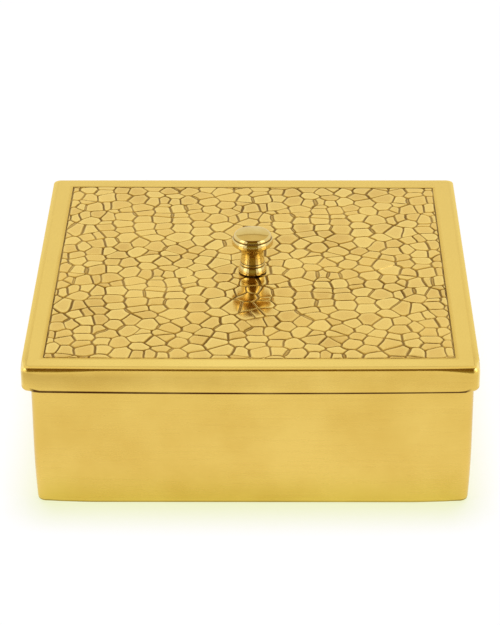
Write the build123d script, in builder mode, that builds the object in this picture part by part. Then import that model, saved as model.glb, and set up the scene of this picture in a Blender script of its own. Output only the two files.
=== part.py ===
from build123d import *
import os
from math import cos, radians, sin, sqrt

# Square brass spice box: a plain tub, a cap lid with a turned knob, nine loose cups and a spoon.
# All sizes are in millimetres. Z is up, the front is -Y, and the box stands on z = 0.
# The origin is on the table under the middle of the lid.

# Tub
tub_side = 192.7            # outside, front to back and left to right
tub_height = 66.9           # table to the rim that the lid rests on
tub_wall = 2.4
tub_floor = 2.4
tub_corner = 5.0            # upright corners, outside
tub_foot_round = 1.5        # edge at the table
tub_rim_round = 0.5         # both edges of the rim
tub_floor_round = 1.0       # where the walls meet the floor, inside

# Lid
lid_wall = 2.3
lid_plate = 2.4
lid_clearance = 1.35        # each side, between the lid's rim and the tub
lid_slip = 0.71             # share of that clearance by which the loose lid has slid to the left
lid_rim_depth = 10.9        # top of the lid to the rim's lower edge, at the corners
lid_rim_bow = 0.9           # how much lower that edge is at the middle of each side
lid_corner = 5.5            # upright corners, outside
lid_edge_round = 1.4        # edge between the plate and the rim
panel_margin = 10.4         # lid's edge to the engraved frame line
panel_line_width = 0.8
panel_line_depth = 0.4

# Knob, heights above the lid
knob_forward = 3.5          # from the lid's middle towards the front
knob_foot_radius = 6.5
knob_foot_round = 0.6
knob_foot_height = 3.0
knob_shoulder_height = 1.8  # where the foot starts to draw in
knob_shoulder_inset = 0.1
knob_bead_radius = 5.9
knob_bead_height = 1.5
knob_neck_radius = 5.4
knob_neck_height = 6.2      # from the bead to the flare
knob_waist_height = 2.8     # from the bead to the narrowest place
knob_flare_height = 3.6     # under the head
knob_flare_start = (0.25, 1)  # direction in which the flare leaves the neck
knob_flare_end = (1, 0.3)   # direction in which it meets the head
knob_head_radius = 9.6
knob_head_band = 3.8        # side of the head, from the flare to the fine line
knob_line_inset = 0.5       # step at the fine line
knob_dome_height = 1.9
knob_groove = 0.25          # depth of the two turned lines beside the bead

# Screw and washer that hold the knob from below
screw_radius = 2.0
screw_grip = 7.0            # length inside the knob
screw_head_radius = 3.8
screw_head_height = 2.6
screw_head_round = 0.9
screw_slot_width = 1.0
screw_slot_depth = 1.2
thread_clearance = 0.05     # screw to the knob's hole
hole_clearance = 0.25       # screw to the holes in the lid and the washer
knob_hole_spare = 1.5       # hole past the screw's tip
washer_radius = 5.5
washer_thickness = 0.8

# Cups, a square of three by three
cup_rows = ("front", "middle", "back")
cup_columns = ("left", "centre", "right")
cup_gap = 0.8               # cup to cup and cup to tub
cup_wall = 1.0
cup_lip = 0.9               # how far the lip stands out
cup_lip_height = 1.8
cup_lip_round = 0.5
cup_corner = 8.0            # upright corners of the cup's wall, outside
cup_foot_round = 2.6
cup_headroom = 18.5         # tub's rim down to the cups' lips

# Spoon, lying on the cups' lips
spoon_bowl_radius = 13.0
spoon_bowl_depth = 7.5
spoon_wall = 1.2
spoon_handle_length = 84.0  # from the bowl's edge
spoon_handle_thickness = 1.6
spoon_neck_width = 5.0
spoon_end_width = 9.5
spoon_neck_inset = 0.9      # handle's start, inside the bowl's wall
spoon_angle = 11.0          # degrees, turned to the left of the X direction
spoon_bowl_right = 10.0     # bowl's middle, from the middle of the cup that it hangs into
spoon_bowl_forward = 4.0

# Places worked out from the sizes above
lid_side = tub_side + 2 * (lid_clearance + lid_wall)
lid_inside = lid_side - 2 * lid_wall
lid_top = tub_height + lid_plate
tub_x = lid_slip * lid_clearance
tub_inside = tub_side - 2 * tub_wall
cups_per_side = len(cup_rows)
cup_pitch = (tub_inside - cup_gap) / cups_per_side
cup_side = cup_pitch - cup_gap
cup_height = tub_height - tub_floor - cup_headroom
lip_level = tub_floor + cup_height

os.makedirs("parts", exist_ok=True)

# Tub
with BuildPart() as box_body:
    with BuildSketch():
        with Locations((tub_x, 0)):
            RectangleRounded(tub_side, tub_side, tub_corner)
    extrude(amount=tub_height)
    with BuildSketch(Plane.XY.offset(tub_floor)):
        with Locations((tub_x, 0)):
            RectangleRounded(tub_inside, tub_inside, tub_corner - tub_wall)
    extrude(amount=tub_height - tub_floor, mode=Mode.SUBTRACT)
    fillet(box_body.edges().group_by(Axis.Z)[0], radius=tub_foot_round)
    floor_face = box_body.faces().filter_by(Plane.XY).sort_by(Axis.Z)[1]
    fillet(floor_face.edges(), radius=tub_floor_round)
    fillet(box_body.edges().group_by(Axis.Z)[-1], radius=tub_rim_round)
box_body.part.label = "box_body"
export_step(box_body.part, "parts/box_body.step")

# Lid: a plate and a rim in one, with the edge of the rim a little lower at the middle of each side
rim_low = lid_top - lid_rim_depth
with BuildPart() as lid:
    with BuildSketch(Plane.XY.offset(rim_low)):
        RectangleRounded(lid_side, lid_side, lid_corner)
    extrude(amount=lid_rim_depth)
    fillet(lid.edges().group_by(Axis.Z)[-1], radius=lid_edge_round)
    with BuildSketch(Plane.XY.offset(rim_low)):
        RectangleRounded(lid_inside, lid_inside, lid_corner - lid_wall)
    extrude(amount=lid_rim_depth - lid_plate, mode=Mode.SUBTRACT)
    for turn in range(4):
        outward = (sin(radians(90 * turn)), -cos(radians(90 * turn)), 0)
        along = (cos(radians(90 * turn)), sin(radians(90 * turn)), 0)
        inner_face = Plane(
            (outward[0] * lid_inside / 2, outward[1] * lid_inside / 2, rim_low),
            x_dir=along,
            z_dir=outward,
        )
        bow_half = lid_side / 2 - lid_corner
        with BuildSketch(inner_face):
            with BuildLine():
                Line((bow_half, 0), (-bow_half, 0))
                ThreePointArc((-bow_half, 0), (0, -lid_rim_bow), (bow_half, 0))
            make_face()
        extrude(amount=lid_wall)
    with BuildSketch(Plane.XY.offset(lid_top)):
        panel_side = lid_side - 2 * panel_margin
        Rectangle(panel_side, panel_side)
        panel_core = panel_side - 2 * panel_line_width
        Rectangle(panel_core, panel_core, mode=Mode.SUBTRACT)
    extrude(amount=-panel_line_depth, mode=Mode.SUBTRACT)
    with BuildSketch(Plane.XY.offset(tub_height)):
        with Locations((0, -knob_forward)):
            Circle(screw_radius + hole_clearance)
    extrude(amount=lid_plate, mode=Mode.SUBTRACT)
lid.part.label = "lid"
export_step(lid.part, "parts/lid.step")

# Knob: turned, with a domed foot, a bead, a waisted neck and a wide head
knob_axis = Axis((0, -knob_forward, 0), (0, 0, 1))
bead_low = knob_foot_height
bead_high = bead_low + knob_bead_height
flare_low = bead_high + knob_neck_height
head_low = flare_low + knob_flare_height
line_level = head_low + knob_head_band
head_edge_radius = knob_head_radius - knob_line_inset
dome_radius = head_edge_radius - knob_groove
dome_sphere = (dome_radius**2 + knob_dome_height**2) / (2 * knob_dome_height)
with BuildPart() as knob:
    with BuildSketch(Plane((0, -knob_forward, lid_top), x_dir=(1, 0, 0), z_dir=(0, -1, 0))):
        with BuildLine():
            foot_edge = (knob_foot_radius - knob_foot_round, 0)
            foot_side = (knob_foot_radius, knob_foot_round)
            Line((0, 0), foot_edge)
            RadiusArc(foot_edge, foot_side, -knob_foot_round)
            foot_middle = (knob_foot_radius - knob_shoulder_inset, knob_shoulder_height)
            foot_top = (knob_bead_radius - knob_groove, bead_low)
            ThreePointArc(foot_side, foot_middle, foot_top)
            bead_middle = (knob_bead_radius, (bead_low + bead_high) / 2)
            bead_top = (knob_bead_radius - knob_groove, bead_high)
            ThreePointArc(foot_top, bead_middle, bead_top)
            neck_middle = (knob_neck_radius, bead_high + knob_waist_height)
            neck_top = (knob_bead_radius, flare_low)
            ThreePointArc(bead_top, neck_middle, neck_top)
            head_edge = (head_edge_radius, head_low)
            Spline(neck_top, head_edge, tangents=(knob_flare_start, knob_flare_end))
            head_middle = (knob_head_radius, (head_low + line_level) / 2)
            line_point = (head_edge_radius, line_level)
            ThreePointArc(head_edge, head_middle, line_point)
            groove_point = (dome_radius, line_level)
            Line(line_point, groove_point)
            dome_top = (0, line_level + knob_dome_height)
            RadiusArc(groove_point, dome_top, -dome_sphere)
            Line(dome_top, (0, 0))
        make_face()
    revolve(axis=knob_axis)
    with BuildSketch(Plane.XY.offset(lid_top)):
        with Locations((0, -knob_forward)):
            Circle(screw_radius + thread_clearance)
    extrude(amount=screw_grip + knob_hole_spare, mode=Mode.SUBTRACT)
knob.part.label = "knob"
export_step(knob.part, "parts/knob.step")

# Washer under the lid's plate
washer_top = tub_height
with BuildPart() as knob_washer:
    with BuildSketch(Plane.XY.offset(washer_top)):
        with Locations((0, -knob_forward)):
            Circle(washer_radius)
            Circle(screw_radius + hole_clearance, mode=Mode.SUBTRACT)
    extrude(amount=-washer_thickness)
knob_washer.part.label = "knob_washer"
export_step(knob_washer.part, "parts/knob_washer.step")

# Slotted screw, from the washer up into the knob
head_top = washer_top - washer_thickness
head_bottom = head_top - screw_head_height
with BuildPart() as knob_screw:
    with BuildSketch(Plane.XY.offset(head_bottom)):
        with Locations((0, -knob_forward)):
            Circle(screw_head_radius)
    extrude(amount=screw_head_height)
    fillet(knob_screw.edges().group_by(Axis.Z)[0], radius=screw_head_round)
    with BuildSketch(Plane.XY.offset(head_bottom)):
        with Locations((0, -knob_forward)):
            Rectangle(2 * screw_head_radius, screw_slot_width)
    extrude(amount=screw_slot_depth, mode=Mode.SUBTRACT)
    with BuildSketch(Plane.XY.offset(head_top)):
        with Locations((0, -knob_forward)):
            Circle(screw_radius)
    extrude(amount=washer_thickness + lid_plate + screw_grip)
knob_screw.part.label = "knob_screw"
export_step(knob_screw.part, "parts/knob_screw.step")

# Cups, each loose in its place on the tub's floor
cup_wall_side = cup_side - 2 * cup_lip
cup_bore_side = cup_wall_side - 2 * cup_wall
for row, row_name in enumerate(cup_rows):
    for column, column_name in enumerate(cup_columns):
        cup_x = tub_x + (column - (cups_per_side - 1) / 2) * cup_pitch
        cup_y = (row - (cups_per_side - 1) / 2) * cup_pitch
        with BuildPart() as cup:
            with BuildSketch(Plane.XY.offset(tub_floor)):
                with Locations((cup_x, cup_y)):
                    RectangleRounded(cup_wall_side, cup_wall_side, cup_corner)
            extrude(amount=cup_height)
            fillet(cup.edges().group_by(Axis.Z)[0], radius=cup_foot_round)
            with BuildSketch(Plane.XY.offset(lip_level - cup_lip_height)):
                with Locations((cup_x, cup_y)):
                    RectangleRounded(cup_side, cup_side, cup_corner + cup_lip)
            extrude(amount=cup_lip_height)
            with BuildSketch(Plane.XY.offset(tub_floor + cup_wall)):
                with Locations((cup_x, cup_y)):
                    RectangleRounded(cup_bore_side, cup_bore_side, cup_corner - cup_wall)
            extrude(amount=cup_height - cup_wall, mode=Mode.SUBTRACT)
            cup_floor = cup.faces().filter_by(Plane.XY).sort_by(Axis.Z)[1]
            fillet(cup_floor.edges(), radius=cup_foot_round - cup_wall)
            lip_top = cup.faces().filter_by(Plane.XY).sort_by(Axis.Z)[-1]
            fillet(lip_top.outer_wire().edges(), radius=cup_lip_round)
        cup_name = f"cup_{row_name}_{column_name}"
        cup.part.label = cup_name
        export_step(cup.part, f"parts/{cup_name}.step")

# Spoon: a round bowl that hangs into one cup, and a flat handle across the lips
bowl_sphere = (spoon_bowl_radius**2 + spoon_bowl_depth**2) / (2 * spoon_bowl_depth)
spoon_plane = Plane(
    (tub_x - cup_pitch + spoon_bowl_right, -spoon_bowl_forward, lip_level),
    x_dir=(cos(radians(spoon_angle)), sin(radians(spoon_angle)), 0),
    z_dir=(0, 0, 1),
)
bowl_rise = spoon_handle_thickness - spoon_bowl_depth + bowl_sphere
inner_sphere = bowl_sphere - spoon_wall
bowl_inner_radius = sqrt(inner_sphere**2 - (bowl_sphere - spoon_bowl_depth) ** 2)
bowl_section = Plane(spoon_plane.origin, x_dir=spoon_plane.x_dir, z_dir=-spoon_plane.y_dir)
with BuildPart() as spoon:
    with BuildSketch(bowl_section):
        with BuildLine():
            bowl_bottom = (0, bowl_rise - bowl_sphere)
            bowl_floor = (0, bowl_rise - inner_sphere)
            inner_edge = (bowl_inner_radius, spoon_handle_thickness)
            outer_edge = (spoon_bowl_radius, spoon_handle_thickness)
            Line(bowl_bottom, bowl_floor)
            RadiusArc(bowl_floor, inner_edge, -inner_sphere)
            Line(inner_edge, outer_edge)
            RadiusArc(outer_edge, bowl_bottom, bowl_sphere)
        make_face()
    revolve(axis=Axis(spoon_plane.origin, (0, 0, 1)))
    with BuildSketch(spoon_plane):
        with BuildLine():
            neck_x = spoon_bowl_radius - spoon_neck_inset
            end_x = spoon_bowl_radius + spoon_handle_length - spoon_end_width / 2
            Line((neck_x, -spoon_neck_width / 2), (end_x, -spoon_end_width / 2))
            ThreePointArc(
                (end_x, -spoon_end_width / 2),
                (end_x + spoon_end_width / 2, 0),
                (end_x, spoon_end_width / 2),
            )
            Line((end_x, spoon_end_width / 2), (neck_x, spoon_neck_width / 2))
            Line((neck_x, spoon_neck_width / 2), (neck_x, -spoon_neck_width / 2))
        make_face()
    extrude(amount=spoon_handle_thickness)
spoon.part.label = "spoon"
export_step(spoon.part, "parts/spoon.step")
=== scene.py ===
import math
import random

import bpy
import bmesh
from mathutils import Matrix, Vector


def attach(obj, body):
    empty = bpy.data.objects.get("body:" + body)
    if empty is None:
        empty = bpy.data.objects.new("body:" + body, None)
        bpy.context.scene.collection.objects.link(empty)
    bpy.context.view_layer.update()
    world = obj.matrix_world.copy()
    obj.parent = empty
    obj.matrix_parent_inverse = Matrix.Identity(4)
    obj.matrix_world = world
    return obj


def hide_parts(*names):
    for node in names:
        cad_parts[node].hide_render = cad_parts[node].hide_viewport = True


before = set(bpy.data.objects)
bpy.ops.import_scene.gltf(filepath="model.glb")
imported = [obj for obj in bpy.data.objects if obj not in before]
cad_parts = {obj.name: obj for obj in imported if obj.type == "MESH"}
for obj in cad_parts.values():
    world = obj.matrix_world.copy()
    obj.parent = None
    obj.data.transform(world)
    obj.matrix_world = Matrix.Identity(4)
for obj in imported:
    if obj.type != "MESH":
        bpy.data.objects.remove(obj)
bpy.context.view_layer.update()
mm = 0.001
print("spice box: frame loaded")


def linear(hexColour):
    parts = [int(hexColour[i:i + 2], 16) / 255 for i in (1, 3, 5)]
    return [c / 12.92 if c <= 0.04045 else ((c + 0.055) / 1.055) ** 2.4 for c in parts] + [1.0]


def mix(a, b, share):
    return a + (b - a) * share


def smooth(x, low=0.0, high=1.0):
    x = min(max((x - low) / (high - low), 0.0), 1.0)
    return x * x * (3 - 2 * x)


def addNode(tree, kind, settings=None, links=None):
    # a node among the links stands for its first output
    node = tree.nodes.new(kind)
    for name, value in (settings or {}).items():
        setattr(node, name, value)
    for name, value in (links or {}).items():
        value = value.outputs[0] if isinstance(value, bpy.types.Node) else value
        if isinstance(value, bpy.types.NodeSocket):
            tree.links.new(value, node.inputs[name])
        else:
            node.inputs[name].default_value = value
    return node


def addObject(name, data):
    added = bpy.data.objects.new(name, data)
    bpy.context.scene.collection.objects.link(added)
    return added


def clearTree(owner):
    owner.use_nodes = True
    owner.node_tree.nodes.clear()
    return owner.node_tree


def startTree(name, sockets):
    # a geometry tree with its named inputs, and what they give inside it
    tree = bpy.data.node_groups.new(name, "GeometryNodeTree")
    tree.interface.new_socket("Geometry", in_out="INPUT", socket_type="NodeSocketGeometry")
    for socket, kind in sockets:
        tree.interface.new_socket(socket, in_out="INPUT", socket_type="NodeSocket" + kind)
    tree.interface.new_socket("Geometry", in_out="OUTPUT", socket_type="NodeSocketGeometry")
    return tree, addNode(tree, "NodeGroupInput").outputs


def setInputs(modifier, values):
    for item in modifier.node_group.interface.items_tree:
        if item.item_type == "SOCKET" and item.in_out == "INPUT" and item.name in values:
            modifier[item.identifier] = values[item.name]


def addMarks(mesh, marks):
    # marks are lists of one number for each point, kept as attributes
    for mark, values in marks.items():
        mesh.attributes.new(mark, "FLOAT", "POINT").data.foreach_set("value", values)


def addPiece(name, points, faces, material=None, marks=None):
    mesh = bpy.data.meshes.new(name)
    mesh.from_pydata([[c * mm for c in point] for point in points], [], faces)
    addMarks(mesh, marks or {})
    if material:
        mesh.materials.append(material)
    return addObject(name, mesh)


def plainMesh(piece):
    # the evaluated result as a plain mesh, with every modifier gone
    depsgraph = bpy.context.evaluated_depsgraph_get()
    result = bpy.data.meshes.new_from_object(piece.evaluated_get(depsgraph))
    piece.modifiers.clear()
    old = piece.data
    piece.data = result
    bpy.data.meshes.remove(old)
    result.name = piece.name
    return piece


def reworkMesh(mesh, change):
    shell = bmesh.new()
    shell.from_mesh(mesh)
    change(shell)
    shell.to_mesh(mesh)
    shell.free()


def joinShapes(piece, other, operation):
    # unites two closed shapes, or cuts the second out of the first
    boolean = piece.modifiers.new(operation, "BOOLEAN")
    boolean.operation = operation
    boolean.object = other
    boolean.solver = "EXACT"
    plainMesh(piece)
    bpy.data.objects.remove(other)
    return piece


def finishPiece(piece, body, node, sharp=None):
    if sharp:
        piece.data.shade_smooth()
        piece.data.set_sharp_from_angle(angle=math.radians(sharp))
    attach(piece, body)
    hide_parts(node)
    triangles = sum(len(face.vertices) - 2 for face in piece.data.polygons)
    print("spice box:", piece.name, triangles, "triangles")


def arcPoints(start, middle, end, steps):
    # points on the circle through three points, without the first
    (ax, ay), (bx, by), (cx, cy) = start, middle, end
    d = 2 * (ax * (by - cy) + bx * (cy - ay) + cx * (ay - by))
    a2, b2, c2 = ax * ax + ay * ay, bx * bx + by * by, cx * cx + cy * cy
    ux = (a2 * (by - cy) + b2 * (cy - ay) + c2 * (ay - by)) / d
    uy = (a2 * (cx - bx) + b2 * (ax - cx) + c2 * (bx - ax)) / d
    radius = math.hypot(ax - ux, ay - uy)
    first = math.atan2(ay - uy, ax - ux)
    half = math.remainder(math.atan2(by - uy, bx - ux) - first, 2 * math.pi)
    rest = math.remainder(math.atan2(cy - uy, cx - ux) - math.atan2(by - uy, bx - ux), 2 * math.pi)
    angles = [first + (half + rest) * k / steps for k in range(1, steps + 1)]
    return [(ux + radius * math.cos(a), uy + radius * math.sin(a)) for a in angles]


def roundCorner(cx, cy, radius, fromAngle, toAngle, steps):
    # points of a round from one angle to another, in degrees, with both ends
    angles = [math.radians(mix(fromAngle, toAngle, k / steps)) for k in range(steps + 1)]
    return [(cx + radius * math.cos(a), cy + radius * math.sin(a)) for a in angles]


def roundedBar(left, right, low, high, radius, steps):
    # a closed section with four round corners
    section = []
    for x, y, angle in ((right - radius, low + radius, -90), (right - radius, high - radius, 0),
                        (left + radius, high - radius, 90), (left + radius, low + radius, 180)):
        section += roundCorner(x, y, radius, angle, angle + 90, steps)
    return section


def quarter(steps):
    # a quarter round as shares of its size: what is left to go outwards, and how far it has risen
    angles = [math.pi / 2 * k / steps for k in range(steps + 1)]
    return [(1 - math.sin(a), 1 - math.cos(a)) for a in angles]


leastCorner = 0.35  # mm, the smallest round that a ring of a rounded square keeps at its corners
sideTurns = ((1, 0), (0, 1), (-1, 0), (0, -1))  # cosine and sine for the front, right, back and left


def meets(a, b):
    return abs(a - b) < 1e-4


def atPlace(value, t, turn):
    return value(t, turn) if callable(value) else value


def squareRing(half, radius, stops, arcSteps, inset, level, centre=(0.0, 0.0)):
    # One ring of a rounded square. inset and level may follow the place along a side, from -1 to 1,
    # and the side: 0 front, 1 right, 2 back, 3 left.
    points = []
    for turn in range(4):
        c, s = sideTurns[turn]
        places = [(t, None) for t in stops[turn]]
        places += [(1.0, k / arcSteps) for k in range(1, arcSteps)]
        for t, bend in places:
            e = atPlace(inset, t, turn)
            z = atPlace(level, t, turn)
            r = max(radius - e, leastCorner)
            straight = half - e - r
            if bend is None:
                x, y = t * straight, e - half
            else:
                x = straight + r * math.sin(bend * math.pi / 2)
                y = -straight - r * math.cos(bend * math.pi / 2)
            points.append((x * c - y * s + centre[0], x * s + y * c + centre[1], z))
    return points


def loftRings(rings):
    # rings of equal count, from the underside's middle round the outside and in again
    points = [p for ring in rings for p in ring]
    count = len(rings[0])
    faces = []
    for r in range(len(rings) - 1):
        a, b = r * count, (r + 1) * count
        for i in range(count):
            j = (i + 1) % count
            faces.append((a + i, a + j, b + j, b + i))
    for ring, start in ((rings[0], 0), (rings[-1], (len(rings) - 1) * count)):
        middle = len(points)
        points.append(tuple(sum(p[k] for p in ring) / count for k in range(3)))
        for i in range(count):
            j = (i + 1) % count
            edge = (start + j, start + i) if start == 0 else (start + i, start + j)
            faces.append((*edge, middle))
    return points, faces


def turnProfile(profile, centre, base, segments):
    # A closed solid of revolution from (radius, height) points. It starts and ends on the axis, or it
    # ends where it starts. Also gives the profile's own place of each point.
    points, faces, rows, owners = [], [], [], []
    loop = profile[0] == profile[-1] and profile[0][0] > 0
    for number, (radius, height) in enumerate(profile):
        if loop and number == len(profile) - 1:
            rows.append(rows[0])
            continue
        count = 1 if radius < 1e-6 else segments
        rows.append(list(range(len(points), len(points) + count)))
        owners += [number] * count
        for k in range(count):
            a = 2 * math.pi * k / segments
            x, y = radius * math.cos(a), radius * math.sin(a)
            points.append((centre[0] + x, centre[1] + y, base + height))
    for low, high in zip(rows, rows[1:]):
        for k in range(segments):
            n = (k + 1) % segments
            if len(low) == 1:
                faces.append((low[0], high[n], high[k]))
            elif len(high) == 1:
                faces.append((low[k], low[n], high[0]))
            else:
                faces.append((low[k], low[n], high[n], high[k]))
    return points, faces, owners


camera = {
    "dist": 1214.292,  # mm from the point it looks at
    "pitch": 27.156,
    "yaw": -0.591,
    "roll": -0.249,
    "aimX": -0.985,
    "aimZ": 45.829,
    "lens": 148.26,  # mm, from how the lid's sides draw together
    "sensor": 36,
    "clip": (0.01, 50),  # metres
}


def makeCamera(c):
    pitch, yaw, roll = (math.radians(c[k]) for k in ("pitch", "yaw", "roll"))
    level = math.cos(pitch)
    forward = Vector((math.sin(yaw) * level, math.cos(yaw) * level, -math.sin(pitch)))
    right = Vector((math.cos(yaw), -math.sin(yaw), 0))
    up = right.cross(forward)
    tiltedRight = math.cos(roll) * right + math.sin(roll) * up
    tiltedUp = math.cos(roll) * up - math.sin(roll) * right
    data = bpy.data.cameras.new("camera")
    data.lens = c["lens"]
    data.sensor_width = c["sensor"]
    data.clip_start, data.clip_end = c["clip"]
    eye = addObject("camera", data)
    place = Vector((c["aimX"], 0, c["aimZ"])) - c["dist"] * forward
    matrix = eye.matrix_world.to_3x3()
    matrix.col[0], matrix.col[1], matrix.col[2] = tiltedRight, tiltedUp, -forward
    eye.matrix_world = matrix.to_4x4()
    eye.location = place * mm
    bpy.context.scene.camera = eye


makeCamera(camera)
print("spice box: camera")


studio = {
    "worldLevel": 0.19,  # what the world gives matt surfaces, while gloss and camera see it white
    "paper": "#7C6CBF",  # what the floor takes from the lamps, so this much is missing in its shadow
    "paperGlow": "#E7EDB8",  # what it shows without them: together they make white, with a thin warm shadow
    "overheadLevel": 0.82,  # the soft lamp overhead, as the brightness of white paper under it
    "overheadSize": 26,  # degrees across
    "overheadLean": 10,  # degrees behind the upright, so the shadow falls a little to the front
    "sideLevel": 1.2,  # brightness of the side panels
    "sideSize": (0.75, 1.35),  # metres, front to back and upright
    "sidePlace": (1.3, -0.64, 0.76),
    "darkDistance": 1.75,  # the unlit room behind the camera, which polished brass shows as its dark band
    "darkHalfWidth": 1.08,
    "darkColour": "#75561E",
    "dimHeight": 0.72,  # the room is lighter below this height
    "dimColour": "#948548",
    "tableEnd": 0.5,  # the paper's front edge, past which reflections see the dim room's floor
    "ceilingHeight": 1.6,  # a cream ceiling and back wall that only reflections see
    "ceilingFrom": 36.0,  # degrees up from the horizon behind the box, where it starts
    "ceilingTo": 100,  # and where it goes dark, over the top and forward
    "ceilingColour": "#EFE2BE",
    "beamFrom": 32.5,  # the ceiling's shaded back edge
    "beamColour": "#CDBE98",
    "wallColour": "#F7F2DA",
    "ceilingHalfWidth": 1.5,
    "angleBase": 0.085,  # metres up, from where those degrees are measured
    "wallFoot": 0.25,
    "cardLift": 0.002,  # height of the lowest card's edge over the paper
    "paperHalf": 6.0,
}


def addSheet(name, corners, material):
    mesh = bpy.data.meshes.new(name)
    mesh.from_pydata(corners, [], [(0, 1, 2, 3)])
    mesh.materials.append(material)
    return addObject(name, mesh)


def makeCard(name, corners, colour):
    # a part of the room that only reflections see
    material = bpy.data.materials.new(name)
    tree = clearTree(material)
    glow = addNode(tree, "ShaderNodeEmission", None, {"Color": linear(colour), "Strength": 1.0})
    addNode(tree, "ShaderNodeOutputMaterial", None, {"Surface": glow})
    card = addSheet(name, corners, material)
    card.visible_camera = False
    card.visible_shadow = False
    card.visible_diffuse = False


def seenBy(tree, rays):
    # 1 for these kinds of ray and 0 for the others
    path = addNode(tree, "ShaderNodeLightPath").outputs
    seen = path[rays[0]]
    for ray in rays[1:]:
        seen = addNode(tree, "ShaderNodeMath", {"operation": "MAXIMUM"}, {0: seen, 1: path[ray]})
    return seen


def makeWorld(s):
    world = bpy.data.worlds.new("whiteStudio")
    bpy.context.scene.world = world
    tree = clearTree(world)
    seen = seenBy(tree, ("Is Camera Ray", "Is Glossy Ray", "Is Transmission Ray"))
    level = addNode(tree, "ShaderNodeMix", {"data_type": "FLOAT"},
                    {"Factor": seen, 2: s["worldLevel"], 3: 1.0})
    sky = addNode(tree, "ShaderNodeBackground", None,
                  {"Color": (1, 1, 1, 1), "Strength": level})
    addNode(tree, "ShaderNodeOutputWorld", None, {"Surface": sky})


def makeFloor(s):
    # matt background paper
    material = bpy.data.materials.new("paperSweep")
    tree = clearTree(material)
    seen = seenBy(tree, ("Is Camera Ray", "Is Glossy Ray"))
    paper = addNode(tree, "ShaderNodeBsdfDiffuse", None, {"Color": linear(s["paper"])})
    glow = addNode(tree, "ShaderNodeEmission", None, {"Color": linear(s["paperGlow"]), "Strength": seen})
    both = addNode(tree, "ShaderNodeAddShader", None, {0: paper, 1: glow})
    addNode(tree, "ShaderNodeOutputMaterial", None, {"Surface": both})
    h = s["paperHalf"]
    addSheet("floor", [(-h, -h, 0), (h, -h, 0), (h, h, 0), (-h, h, 0)], material)


def makeRoom(s):
    high, floor, foot = s["ceilingHeight"], s["cardLift"], s["dimHeight"]
    back, start, end = [(high - s["angleBase"]) / math.tan(math.radians(s[k]))
                        for k in ("beamFrom", "ceilingFrom", "ceilingTo")]
    front, wide, narrow = -s["darkDistance"], s["ceilingHalfWidth"], s["darkHalfWidth"]
    near = narrow * s["tableEnd"] / s["darkDistance"]
    for name, w1, (y1, z1), w2, (y2, z2), colour in (
            ("backWall", wide, (back, s["wallFoot"]), wide, (back, high), "wallColour"),
            ("ceilingBeam", wide, (back, high), wide, (start, high), "beamColour"),
            ("ceiling", wide, (start, high), wide, (end, high), "ceilingColour"),
            ("unlitCeiling", narrow, (end, high), narrow, (front, high), "darkColour"),
            ("unlitRoom", narrow, (front, high), narrow, (front, foot), "darkColour"),
            ("dimRoom", narrow, (front, foot), narrow, (front, floor), "dimColour"),
            ("dimFloor", narrow, (front, floor), near, (-s["tableEnd"], floor), "dimColour")):
        makeCard(name, [(-w1, y1, z1), (w1, y1, z1), (w2, y2, z2), (-w2, y2, z2)], s[colour])


def makeLights(s):
    for name, side in (("leftLight", -1), ("rightLight", 1), ("overheadLight", 0)):
        data = bpy.data.lights.new(name, "AREA" if side else "SUN")
        light = addObject(name, data)
        if side:
            data.shape = "RECTANGLE"
            data.size, data.size_y = s["sideSize"]
            data.energy = s["sideLevel"] * math.pi * data.size * data.size_y
            light.location = (side * s["sidePlace"][0], s["sidePlace"][1], s["sidePlace"][2])
            light.rotation_euler = (math.pi / 2, 0, side * math.pi / 2)
            light.visible_camera = False
        else:
            data.energy = s["overheadLevel"] * math.pi
            data.angle = math.radians(s["overheadSize"])
            light.rotation_euler = (math.radians(-s["overheadLean"]), 0, 0)
            light.visible_glossy = False


bpy.context.scene.view_settings.view_transform = "Standard"
makeWorld(studio)
makeFloor(studio)
makeRoom(studio)
makeLights(studio)
print("spice box: studio")


# How every metal's tone varies: clouds of tarnish, and a grain left by rubbing
metalPattern = {
    "cloudDetail": 4.0,
    "cloudRoughness": 0.55,
    "cloudRange": (0.34, 0.66),  # what of the noise goes from one tone to the other
    "grainDetail": 3.0,
    "grainRoughness": 0.6,
    "grainRange": (0.3, 0.7),
    "markRange": (0.3, 0.7),
    "markUneven": (1.15, 0.8),  # grime and painted shade, wear and painted highlights are stronger in the dark clouds
}


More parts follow.
